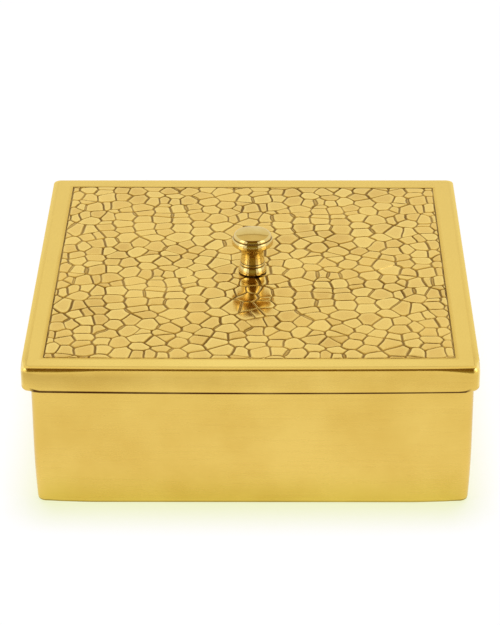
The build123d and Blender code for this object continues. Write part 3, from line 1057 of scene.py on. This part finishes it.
def makeLid(l, c):
    # A flat sheet of cells with their grooves' lines, then the border, edge, rim and hollow. What the
    # grooves and tops need is carried as attributes, and the nodes below give them their heights.
    frameHalf = l["side"] / 2 - l["frameMargin"] - l["frameWidth"] / 2
    dice = random.Random(c["seed"])
    polygons = cellPolygons(c, cellMiddles(c, frameHalf), frameHalf)
    points, loops = sharedGraph(polygons, frameHalf, c["mergeBelow"])
    fullLoops, facts = grooveLines(c, points, loops, frameHalf, dice)
    stops, ringIds = frameRing(l, c, points, facts, fullLoops, frameHalf)
    vertices = [(x, y, l["top"]) for x, y in points]
    marks = {
        "rise": [f[2] if f else 0.0 for f in facts],
        "cut": [f[1] if f else 1.0 for f in facts],
        "dome": [0.0] * len(points),
        "grimeAndShade": [f[3] * (1 - 0.7 * f[2]) if f else 1.0 for f in facts],
        "wearAndSheen": [0.0] * len(points),
    }
    cellOf = [-1] * len(points)
    centreOf = [(0.0, 0.0, 0.0)] * len(points)
    faces, isPanel = [], []

    def addPoint(point, rise, cut, dome, grimeAndShade, wearAndSheen=0.0, cell=-1, centre=(0.0, 0.0, 0.0)):
        vertices.append(point)
        for name, value in zip(marks, (rise, cut, dome, grimeAndShade, wearAndSheen)):
            marks[name].append(value)
        cellOf.append(cell)
        centreOf.append(centre)
        return len(vertices) - 1

    for number, loop in enumerate(fullLoops):
        n = len(loop)
        outline = [points[k] for k in loop]
        inner, cx, cy = topOutline(c, outline, [facts[k][0] for k in loop])
        centre = (cx * mm, cy * mm, 0.0)
        rings = [loop]
        tone = dice.uniform(0, c["brightest"])
        for share, twinned, height, dark, own, more in c["slope"]:
            ring = []
            for k, p, q in zip(loop, outline, inner):
                part = twinned if facts[k][2] else share
                spot = (mix(p[0], q[0], part), mix(p[1], q[1], part), l["top"])
                ring.append(addPoint(spot, height, marks["cut"][k], 0.0, dark * facts[k][3],
                                     own * tone + more, number, centre))
            rings.append(ring)
        part, lift = c["domeRing"]
        rings.append([addPoint((mix(q[0], cx, part), mix(q[1], cy, part), l["top"]), 1.0, 0.0, lift, 0.0,
                               tone, number, centre) for q in inner])
        middle = addPoint((cx, cy, l["top"]), 1.0, 0.0, 1.0, 0.0, tone, number, centre)
        for a, b in zip(rings, rings[1:]):
            faces += [(a[i], a[(i + 1) % n], b[(i + 1) % n], b[i]) for i in range(n)]
        last = rings[-1]
        faces += [(last[i], last[(i + 1) % n], middle) for i in range(n)]
    isPanel += [1.0] * len(faces)

    previous = ringIds
    bends = [1 + k / l["arcSteps"] for k in range(1, l["arcSteps"])]  # places in the corner after a side
    places = [(t, turn) for turn in range(4) for t in stops[turn] + bends]
    for e, z, dark, worn in lidRows(l, l["side"] / 2 - frameHalf):
        ring = squareRing(l["side"] / 2, l["corner"], stops, l["arcSteps"], e, z)
        ids = [addPoint(p, 1.0, 0.0, 0.0, atPlace(dark, t, turn), atPlace(worn, t, turn))
               for p, (t, turn) in zip(ring, places)]
        n = len(ids)
        faces += [(previous[i + 1 - n], previous[i], ids[i], ids[i + 1 - n]) for i in range(n)]
        previous = ids
    middle = addPoint((0.0, 0.0, l["top"] - l["plate"]), 1.0, 0.0, 0.0, 0.0)
    faces += [(previous[i + 1 - n], previous[i], middle) for i in range(n)]
    isPanel += [0.0] * (len(faces) - len(isPanel))

    leanTop(l, vertices, frameHalf)
    piece = addPiece("engravedLid", vertices, faces, None, marks)
    mesh = piece.data
    mesh.attributes.new("panel", "FLOAT", "FACE").data.foreach_set("value", isPanel)
    mesh.attributes.new("cell", "INT", "POINT").data.foreach_set("value", cellOf)
    mesh.attributes.new("cellCentre", "FLOAT_VECTOR", "POINT").data.foreach_set(
        "vector", [v for p in centreOf for v in p])
    mesh.shade_smooth()
    reworkMesh(mesh, lambda shell: bmesh.ops.delete(
        shell, geom=[v for v in shell.verts if not v.link_faces], context="VERTS"))
    return piece


def engraveTree():
    # Sinks the grooves, domes the cell tops and leans each a little its own way.
    tree, given = startTree("engraveCells", (("Groove Depth", "Float"), ("Tilt", "Float"),
                                             ("Dome", "Float"), ("Seed", "Int")))

    def field(name, kind="FLOAT"):
        return addNode(tree, "GeometryNodeInputNamedAttribute", {"data_type": kind}, {"Name": name})

    def sums(operation, a, b):
        return addNode(tree, "ShaderNodeMath", {"operation": operation}, {0: a, 1: b})

    rise, cell, centre = field("rise"), field("cell", "INT"), field("cellCentre", "FLOAT_VECTOR")
    below = sums("MULTIPLY", sums("SUBTRACT", 1.0, rise), field("cut"))
    sunk = sums("MULTIPLY", below, given["Groove Depth"])
    lean = addNode(tree, "FunctionNodeRandomValue", {"data_type": "FLOAT_VECTOR"},
                   {0: (-1, -1, 0), 1: (1, 1, 0), "ID": cell, "Seed": given["Seed"]})
    place = addNode(tree, "GeometryNodeInputPosition")
    away = addNode(tree, "ShaderNodeVectorMath", {"operation": "SUBTRACT"}, {0: place, 1: centre})
    leant = addNode(tree, "ShaderNodeVectorMath", {"operation": "DOT_PRODUCT"},
                    {0: away, 1: lean})
    isCell = addNode(tree, "FunctionNodeCompare", {"data_type": "INT", "operation": "GREATER_EQUAL"},
                     {"A": cell, "B": 0})
    tilted = sums("MULTIPLY", sums("MULTIPLY", leant.outputs["Value"], given["Tilt"]), rise)
    domed = sums("MULTIPLY", field("dome"), given["Dome"])
    lift = sums("SUBTRACT", sums("ADD", sums("MULTIPLY", tilted, isCell), domed), sunk)
    offset = addNode(tree, "ShaderNodeCombineXYZ", None, {"Z": lift})
    moved = addNode(tree, "GeometryNodeSetPosition", None,
                    {"Geometry": given["Geometry"], "Offset": offset})
    real = addNode(tree, "GeometryNodeRealizeInstances", None, {"Geometry": moved})
    border = addNode(tree, "GeometryNodeSetMaterial", None,
                     {"Geometry": real, "Material": satinBrass})
    onPanel = addNode(tree, "FunctionNodeCompare", {"data_type": "FLOAT", "operation": "GREATER_THAN"},
                      {"A": field("panel"), "B": 0.5})
    panel = addNode(tree, "GeometryNodeSetMaterial", None,
                    {"Geometry": border, "Selection": onPanel, "Material": engravedBrass})
    addNode(tree, "NodeGroupOutput", None, {0: panel})
    return tree


def dressLid(l, c):
    piece = makeLid(l, c)
    engraver = piece.modifiers.new("engrave", "NODES")
    engraver.node_group = engraveTree()
    setInputs(engraver, {"Groove Depth": c["grooveDepth"] * mm, "Tilt": c["tilt"],
                         "Dome": c["dome"] * mm, "Seed": c["seed"]})
    plainMesh(piece)
    radius, length = l["holeRadius"], l["drillLength"]
    points, faces = turnProfile([(0, 0), (radius, 0), (radius, length), (0, length)], l["holeAt"],
                                l["top"] - l["plate"] - 2, 48)[:2]
    joinShapes(piece, addPiece("drill", points, faces), "DIFFERENCE")
    piece.modifiers.new("weights", "WEIGHTED_NORMAL").keep_sharp = True
    return plainMesh(piece)


finishPiece(dressLid(lid, cells), "lid", "lid")


knob = {
    "axis": (0.33, -3.5),
    "base": 69.3,
    "segments": 128,
    "bore": (2.05, 8.5),  # radius and depth of the hole for the screw
    "foot": (6.5, 4.0),  # radius and height
    "footRound": 0.5,
    "footLine": 0.6,  # height of the painted contact shadow round the foot
    "shoulder": (6.35, 2.2),
    "groove": 0.3,
    "grooveHalf": 0.2,
    "grooveEdges": (0.04, 0.06, 0.12),  # how far they stand in: the lower groove's, the upper one's two
    "bead": (5.8, 1.4),
    "beadBow": 0.08,
    "neck": (5.2, 6.4, 4.3),  # waist radius, height, and height of the waist
    "neckLean": (-0.15, 1),  # the ways that the neck starts, that it ends, and that the flare ends
    "flareLean": (0.32, 1),
    "headLean": (1, 0.1),
    "neckDarkening": (0.1, 0.3),  # darker on the neck, and more up under the head
    "flareStart": 5.6,
    "flare": 2.5,
    "head": (9.6, 0.75),  # radius, and the round below its widest ring
    "side": ((7.8, 0, 13.5), (1.18, 13.5, 50)),  # the rounds above it: size, and from which lean to which
    "line": 0.28,  # depth of the fine line below the dome
    "shoulderArc": (6.9, 17.9, 1.9),  # where the dome rounds over: radius, height, size of the round
    "capSphere": 38.0,
}

# Lathe-turned brass, buffed to a mirror, with fine rings left by the tool. Its lines keep some tarnish, and
# the dark line round its foot is painted contact shadow.
polishedBrass = makeMetal("polishedBrass", {
    "colour": "#E3CC88",
    "cloud": "#DABE73",
    "cloudSize": 9,
    "grainSize": 0.35,
    "grainStretch": (0.02, 0.02, 1.0),
    "roughness": (0.06, 0.1),
    "grainHeight": 0.0004,
    "wornColour": "#EEDAA4",
    "wornRoughness": 0.08,
    "grimeAndShadeColour": "#482E08",
    "grimeAndShadeRoughness": 0.4,
})


def bendPoints(start, end, out, into, steps):
    # a smooth bend between two points that leaves and arrives in the given directions
    chord = (end - start).length
    out, into = Vector(out).normalized() * chord, Vector(into).normalized() * chord
    found = []
    for i in range(1, steps + 1):
        t = i / steps
        p = ((2 * t**3 - 3 * t**2 + 1) * start + (t**3 - 2 * t**2 + t) * out
             + (3 * t**2 - 2 * t**3) * end + (t**3 - t**2) * into)
        found.append((p.x, p.y))
    return found


def makeKnob(k):
    groove = k["groove"]
    footRadius, footHigh = k["foot"]
    beadRadius, beadHeight = k["bead"]
    waist, neckHeight, waistHeight = k["neck"]
    headRadius, r = k["head"]
    beadHigh = footHigh + beadHeight
    flareLow = beadHigh + neckHeight
    headLow = flareLow + k["flare"]
    profile = [(0, k["bore"][1]), k["bore"], (k["bore"][0], 0), (4.0, 0)]
    low = k["footRound"]
    profile += roundCorner(footRadius - low, low, low, -90, 0, 5)
    profile.append((footRadius, k["footLine"]))
    dark = {i: 1.0 for i in range(3, len(profile))}  # the foot's lower edge gets a painted contact shadow
    w = k["grooveHalf"]

    def darken(beside):
        # the point that comes next is a groove's bottom, between its two edges
        dark.update({len(profile) - 1: beside, len(profile): 1.0, len(profile) + 1: beside})

    profile.append((footRadius, k["footLine"] + 0.2))
    lowEdge, highEdge, neckEdge = (beadRadius - inset for inset in k["grooveEdges"])
    profile += arcPoints(profile[-1], k["shoulder"], (lowEdge, footHigh - w), 14)
    darken(0.4)
    profile += [(beadRadius - groove, footHigh), (lowEdge, footHigh + w)]
    beadMiddle = (beadRadius + k["beadBow"], footHigh + beadHeight / 2)
    profile += arcPoints(profile[-1], beadMiddle, (highEdge, beadHigh - w), 10)
    darken(0.4)
    profile += [(beadRadius - groove, beadHigh), (neckEdge, beadHigh + w)]
    low, turn = Vector(profile[-1]), Vector((waist, beadHigh + waistHeight))
    top = Vector((k["flareStart"], flareLow))
    upright, steps = (0, 1), 12
    profile += bendPoints(low, turn, k["neckLean"], upright, steps)
    profile += bendPoints(turn, top, upright, k["flareLean"], steps)
    least, most = k["neckDarkening"]
    for i in range(len(profile) - 12, len(profile) + 24):
        dark[i] = least if i < len(profile) + 8 else most
    profile += bendPoints(top, Vector((headRadius - r, headLow)), k["flareLean"], k["headLean"], 18)
    profile += roundCorner(headRadius - r, headLow + r, r, -84, 0, 8)
    for size, lean, leanTo in k["side"]:
        x, y = profile[-1]
        a = math.radians(lean)
        profile += roundCorner(x - size * math.cos(a), y - size * math.sin(a), size, lean, leanTo, 8)[1:]
    edge, line = profile[-1][0], profile[-1][1] + w
    darken(0.6)
    profile.append((edge - k["line"], line))
    sr, sz, size = k["shoulderArc"]
    sphere = k["capSphere"]
    start = math.degrees(math.asin((line + w - sz) / size))
    lean = math.degrees(math.asin(sr / (sphere - size)))
    profile += roundCorner(sr, sz, size, start, 90 - lean, 16)
    rise = profile[-1][1] - sphere * math.cos(math.radians(lean))
    for i in range(1, 12):
        a = math.radians(lean) * (1 - i / 12)
        profile.append((sphere * math.sin(a), rise + sphere * math.cos(a)))
    profile.append((0, rise + sphere))
    points, faces, owners = turnProfile(profile, k["axis"], k["base"], k["segments"])
    marks = {"grimeAndShade": [dark.get(owner, 0.0) for owner in owners]}
    return addPiece("turnedKnob", points, faces, polishedBrass, marks)


finishPiece(makeKnob(knob), "lid", "knob", sharp=35)


washer = {
    "axis": (0.0, -3.5),
    "top": 66.9,
    "radii": (2.25, 5.5),
    "thickness": 0.8,
    "edge": 0.15,
    "segments": 72,
}

# Punched and tumbled brass sheet: an even dull gold with soft edges.
tumbledBrass = makeMetal("tumbledBrass", {
    "colour": "#D9B65E",
    "cloud": "#C9A04A",
    "cloudSize": 5,
    "grainSize": 0.4,
    "grainStretch": (1.0, 1.0, 1.0),
    "roughness": (0.3, 0.42),
    "grainHeight": 0.003,
    "wornColour": "#EED285",
    "wornRoughness": 0.25,
    "grimeAndShadeColour": "#6B4A12",
    "grimeAndShadeRoughness": 0.5,
})


def makeWasher(w):
    small, large = w["radii"]
    t = w["thickness"]
    profile = roundedBar(small, large, 0, t, w["edge"], 3)
    profile.append(profile[0])
    points, faces = turnProfile(profile, w["axis"], w["top"] - t, w["segments"])[:2]
    return addPiece("knobWasher", points, faces, tumbledBrass, {"wearAndSheen": [0.6] * len(points)})


finishPiece(makeWasher(washer), "lid", "knob_washer", sharp=40)


screw = {
    "axis": (0.0, -3.5),
    "headTop": 66.1,
    "head": (3.8, 2.6),  # radius and height
    "headRound": 0.9,
    "headEdge": 0.15,
    "neckRound": 0.1,
    "shank": (2.0, 10.2),  # radius and length
    "tip": (0.5, 0.6),  # length, and how much it narrows
    "pitch": 0.7,
    "turnRows": 6,
    "threadDepth": 0.28,
    "plainLength": 1.0,
    "slot": (1.0, 1.2),  # width and depth
    "slotReach": 5,
    "segments": 48,
}

# Zinc-plated steel: cool grey, fairly bright, a little cloudy.
platedSteel = makeMetal("zincPlatedSteel", {
    "colour": "#C6C8CB",
    "cloud": "#B2B5BA",
    "cloudSize": 3,
    "grainSize": 0.3,
    "grainStretch": (1.0, 1.0, 1.0),
    "roughness": (0.22, 0.34),
    "grainHeight": 0.0015,
    "wornColour": "#DADBDC",
    "wornRoughness": 0.2,
    "grimeAndShadeColour": "#4A4742",
    "grimeAndShadeRoughness": 0.55,
})


def makeScrew(s):
    # Head down, with a real thread: the shank's radius follows a helix.
    headRadius, headHeight = s["head"]
    shankRadius, length = s["shank"]
    r, e, n, plain = s["headRound"], s["headEdge"], s["neckRound"], s["plainLength"]
    tipLength, tipDraw = s["tip"]
    profile = [(0, -headHeight)]
    profile += roundCorner(headRadius - r, r - headHeight, r, -90, 0, 8)
    profile += roundCorner(headRadius - e, -e, e, 0, 90, 2)
    profile += [(shankRadius + n, 0), (shankRadius, n), (shankRadius, plain)]
    threadStart = len(profile)
    rows = round((length - tipLength - plain) / (s["pitch"] / s["turnRows"]))
    profile += [(shankRadius, mix(plain, length - tipLength, k / rows)) for k in range(1, rows + 1)]
    threadEnd = len(profile)
    profile += [(shankRadius - tipDraw, length), (0, length)]
    points, faces, owners = turnProfile(profile, s["axis"], s["headTop"], s["segments"])
    shaped = []
    for (x, y, z), owner in zip(points, owners):
        if threadStart <= owner < threadEnd:
            dx, dy = x - s["axis"][0], y - s["axis"][1]
            along = (z - s["headTop"] - plain) / s["pitch"]
            turn = (along - math.atan2(dy, dx) / (2 * math.pi)) % 1.0
            sink = s["threadDepth"] * (1 - abs(2 * turn - 1)) * smooth(along, 0, 1)
            share = (shankRadius - sink) / shankRadius
            x, y = s["axis"][0] + dx * share, s["axis"][1] + dy * share
        shaped.append((x, y, z))
    grimeAndShade = [0.35 if threadStart <= owner < threadEnd else 0.0 for owner in owners]
    piece = addPiece("knobScrew", shaped, faces, platedSteel, {"grimeAndShade": grimeAndShade})
    width, depth = s["slot"]
    x, y = s["axis"]
    low, high = s["headTop"] - headHeight - 1, s["headTop"] - headHeight + depth
    box = [(x + u * s["slotReach"], y + v * width / 2, w) for w in (low, high)
           for u, v in ((-1, -1), (1, -1), (1, 1), (-1, 1))]
    walls = [(0, 3, 2, 1), (4, 5, 6, 7), (0, 1, 5, 4), (1, 2, 6, 5), (2, 3, 7, 6), (3, 0, 4, 7)]
    return joinShapes(piece, addPiece("slotCutter", box, walls), "DIFFERENCE")


finishPiece(makeScrew(screw), "lid", "knob_screw", sharp=30)


cup = {
    "side": 61.5667,  # over the lip, from the tub's inside less the gaps
    "pitch": 62.3667,
    "centreX": 0.9585,
    "level": 2.4,
    "height": 46.0,
    "wall": 1.0,
    "lip": (0.9, 1.8),  # how far it stands out, and its height
    "corner": 8.0,
    "footRound": 2.6,
    "floorReach": 3,  # of the flat floor that the section takes in
    "lipRound": 0.5,
    "fineRound": 0.3,
    "cornerSteps": 9,
}

# Pressed and spun-finished sheet brass: bright, with fine rubbing round the walls and a worn lip.
pressedBrass = makeMetal("pressedBrass", {
    "colour": "#EBCB72",
    "cloud": "#DFB95C",
    "cloudSize": 16,
    "grainSize": 0.7,
    "grainStretch": (0.06, 0.06, 1.0),
    "roughness": (0.16, 0.26),
    "grainHeight": 0.002,
    "wornColour": "#F5E0A0",
    "wornRoughness": 0.14,
    "grimeAndShadeColour": "#7A571C",
    "grimeAndShadeRoughness": 0.45,
})


def cupSection(c):
    # The wall's section as a line: outwards is +x and down is +y, as the sweep takes it.
    out, high = c["lip"]
    top, foot, wall = c["height"], c["footRound"], c["wall"]
    bead, fine, reach = c["lipRound"], c["fineRound"], c["floorReach"]
    line = [(-foot - reach, 0)] + roundCorner(-foot, foot, foot, -90, 0, 8)
    line += [(0, 0.5 * top), (0, top - high - fine)]
    line += roundCorner(fine, top - high - fine, fine, 180, 90, 3)
    line += roundCorner(out - fine, top - high + fine, fine, -90, 0, 3)
    line += roundCorner(out - bead, top - bead, bead, 0, 90, 5)
    line += roundCorner(-wall + fine, top - fine, fine, 90, 180, 4)
    line += [(-wall, 0.5 * top)]
    line += roundCorner(-foot, foot, foot - wall, 180, 270, 8) + [(-foot - reach, wall)]
    mesh = bpy.data.meshes.new("cupSection")
    edges = [(k, k + 1) for k in range(len(line) - 1)]
    mesh.from_pydata([(x * mm, -y * mm, 0) for x, y in line], edges, [])
    # worn on the lip and a little round the foot, with tarnish below the lip
    addMarks(mesh, {
        "wearAndSheen": [0.9 if y > top - 0.9 else 0.4 if y < 1.2 and x > -foot else 0.0 for x, y in line],
        "grimeAndShade": [0.8 if abs(y - (top - high)) < 0.25 and x < 0.4 else 0.0 for x, y in line],
    })
    return mesh


def cupTree(material):
    # Sweeps a section round a square with round corners, closes both floors and puts it in its place.
    tree, given = startTree("pressCup", (("Side", "Float"), ("Corner", "Float"), ("Steps", "Int"),
                                         ("Place", "Vector")))
    square = addNode(tree, "GeometryNodeCurvePrimitiveQuadrilateral", None,
                     {"Width": given["Side"], "Height": given["Side"]})
    path = addNode(tree, "GeometryNodeFilletCurve", {"mode": "POLY"},
                   {"Curve": square, "Count": given["Steps"], "Radius": given["Corner"]})
    path = addNode(tree, "GeometryNodeSetCurveNormal", {"mode": "Z_UP"}, {"Curve": path})
    section = addNode(tree, "GeometryNodeMeshToCurve", None, {"Mesh": given["Geometry"]})
    wall = addNode(tree, "GeometryNodeCurveToMesh", None,
                   {"Curve": path, "Profile Curve": section})
    sides = addNode(tree, "GeometryNodeInputMeshEdgeNeighbors")
    rim = addNode(tree, "FunctionNodeCompare", {"data_type": "INT", "operation": "EQUAL"},
                  {"A": sides, "B": 1})
    floors = addNode(tree, "GeometryNodeExtrudeMesh", {"mode": "EDGES"},
                     {"Mesh": wall, "Selection": rim, "Offset Scale": 0.0})
    place = addNode(tree, "GeometryNodeInputPosition")
    parts = addNode(tree, "ShaderNodeSeparateXYZ", None, {0: place})
    middle = addNode(tree, "ShaderNodeCombineXYZ", None, {"Z": parts.outputs["Z"]})
    drawn = addNode(tree, "GeometryNodeSetPosition", None,
                    {"Geometry": floors, "Selection": floors.outputs["Top"],
                     "Position": middle})
    merged = addNode(tree, "GeometryNodeMergeByDistance", None,
                     {"Geometry": drawn, "Distance": 0.00001})
    outwards = addNode(tree, "GeometryNodeFlipFaces", None, {"Mesh": merged})
    put = addNode(tree, "GeometryNodeTransform", None,
                  {"Geometry": outwards, "Translation": given["Place"]})
    real = addNode(tree, "GeometryNodeRealizeInstances", None, {"Geometry": put})
    done = addNode(tree, "GeometryNodeSetMaterial", None,
                   {"Geometry": real, "Material": material})
    addNode(tree, "NodeGroupOutput", None, {0: done})
    return tree


def makeCups(c):
    tree = cupTree(pressedBrass)
    section = cupSection(c)
    for row, rowName in enumerate(("front", "middle", "back")):
        for column, columnName in enumerate(("left", "centre", "right")):
            piece = addObject("cup." + rowName + "." + columnName, section.copy())
            press = piece.modifiers.new("press", "NODES")
            press.node_group = tree
            place = (c["centreX"] + (column - 1) * c["pitch"], (row - 1) * c["pitch"], c["level"])
            setInputs(press, {"Side": (c["side"] - 2 * c["lip"][0]) * mm, "Corner": c["corner"] * mm,
                              "Steps": c["cornerSteps"], "Place": [v * mm for v in place]})
            plainMesh(piece)
            node = "cup_" + rowName + "_" + columnName
            finishPiece(piece, node, node, sharp=45)


makeCups(cup)


spoon = {
    "level": 48.4,  # top of the cups' lips, which it lies on
    "centre": (-51.4082, -4.0),
    "angle": 11.0,
    "bowl": (13.0, 7.5, 1.2),  # radius, depth and wall
    "edge": 0.35,
    "thickness": 1.6,
    "handle": (12.1, 92.25),  # from and to, along its own length
    "widths": (5.0, 9.5),
    "sideRound": 0.55,
    "handleSteps": 14,
    "endSteps": 10,
}

# Cast and hand-buffed brass: smooth and warm, with short scratches along the handle.
buffedBrass = makeMetal("buffedBrass", {
    "colour": "#ECCB70",
    "cloud": "#DDB455",
    "cloudSize": 12,
    "grainSize": 0.5,
    "grainStretch": (0.12, 1.0, 1.0),
    "roughness": (0.12, 0.22),
    "grainHeight": 0.0015,
    "wornColour": "#F6E2A2",
    "wornRoughness": 0.12,
    "grimeAndShadeColour": "#7A571C",
    "grimeAndShadeRoughness": 0.45,
})


def makeSpoon(s):
    radius, depth, wall = s["bowl"]
    sphere = (radius**2 + depth**2) / (2 * depth)
    top = s["thickness"]
    centreHeight = top - depth + sphere
    inner = sphere - wall
    e = s["edge"]
    outerLean = math.degrees(math.asin((radius - 0.05) / sphere))
    innerLean = math.degrees(math.acos((sphere - depth + 0.2) / inner))
    profile = [(0, centreHeight - sphere)]
    profile += roundCorner(0, centreHeight, sphere, -90, outerLean - 93, 18)[1:]
    profile += [(radius - 0.02, top - e), (radius - 0.12, top - 0.1), (radius - e, top)]
    profile += [(radius - wall + 0.1, top), (radius - wall - 0.15, top - 0.06)]
    profile += roundCorner(0, centreHeight, inner, innerLean - 93, -90, 16)[:-1]
    profile.append((0, centreHeight - inner))
    points, faces = turnProfile(profile, (0, 0), 0, 72)[:2]
    bowl = addPiece("spiceSpoon", points, faces, buffedBrass,
                    {"wearAndSheen": [0.8 if z > top - 0.6 else 0.0 for x, y, z in points]})

    # the handle: rounded bars of growing width, with a round end
    (startX, endX), (startWidth, endWidth) = s["handle"], s["widths"]
    steps = s["handleSteps"]
    stations = [(mix(startX, endX, k / steps), mix(startWidth, endWidth, k / steps) / 2)
                for k in range(steps + 1)]
    stations += [(endX + endWidth / 2 * math.sin(a), endWidth / 2 * math.cos(a))
                 for a in (math.pi / 2 * k / s["endSteps"] for k in range(1, s["endSteps"]))]
    stations.append((endX + endWidth / 2 - 0.02, 0.5))
    rings = []
    for x, half in stations:
        section = roundedBar(-half, half, 0, top, min(s["sideRound"], half * 0.8), 3)
        rings.append([(x, y, z) for y, z in section])
    points, faces = loftRings(rings)
    handle = addPiece("handle", points, faces, buffedBrass, {"wearAndSheen": [0.3] * len(points)})
    reworkMesh(handle.data, lambda shell: bmesh.ops.recalc_face_normals(shell, faces=shell.faces))
    joinShapes(bowl, handle, "UNION")
    a = math.radians(s["angle"])
    for v in bowl.data.vertices:
        x, y, z = v.co
        along, across = x * math.cos(a) - y * math.sin(a), x * math.sin(a) + y * math.cos(a)
        v.co = (along + s["centre"][0] * mm, across + s["centre"][1] * mm, z + s["level"] * mm)
    return bowl


finishPiece(makeSpoon(spoon), "spoon", "spoon", sharp=35)

print("spice box: finished")
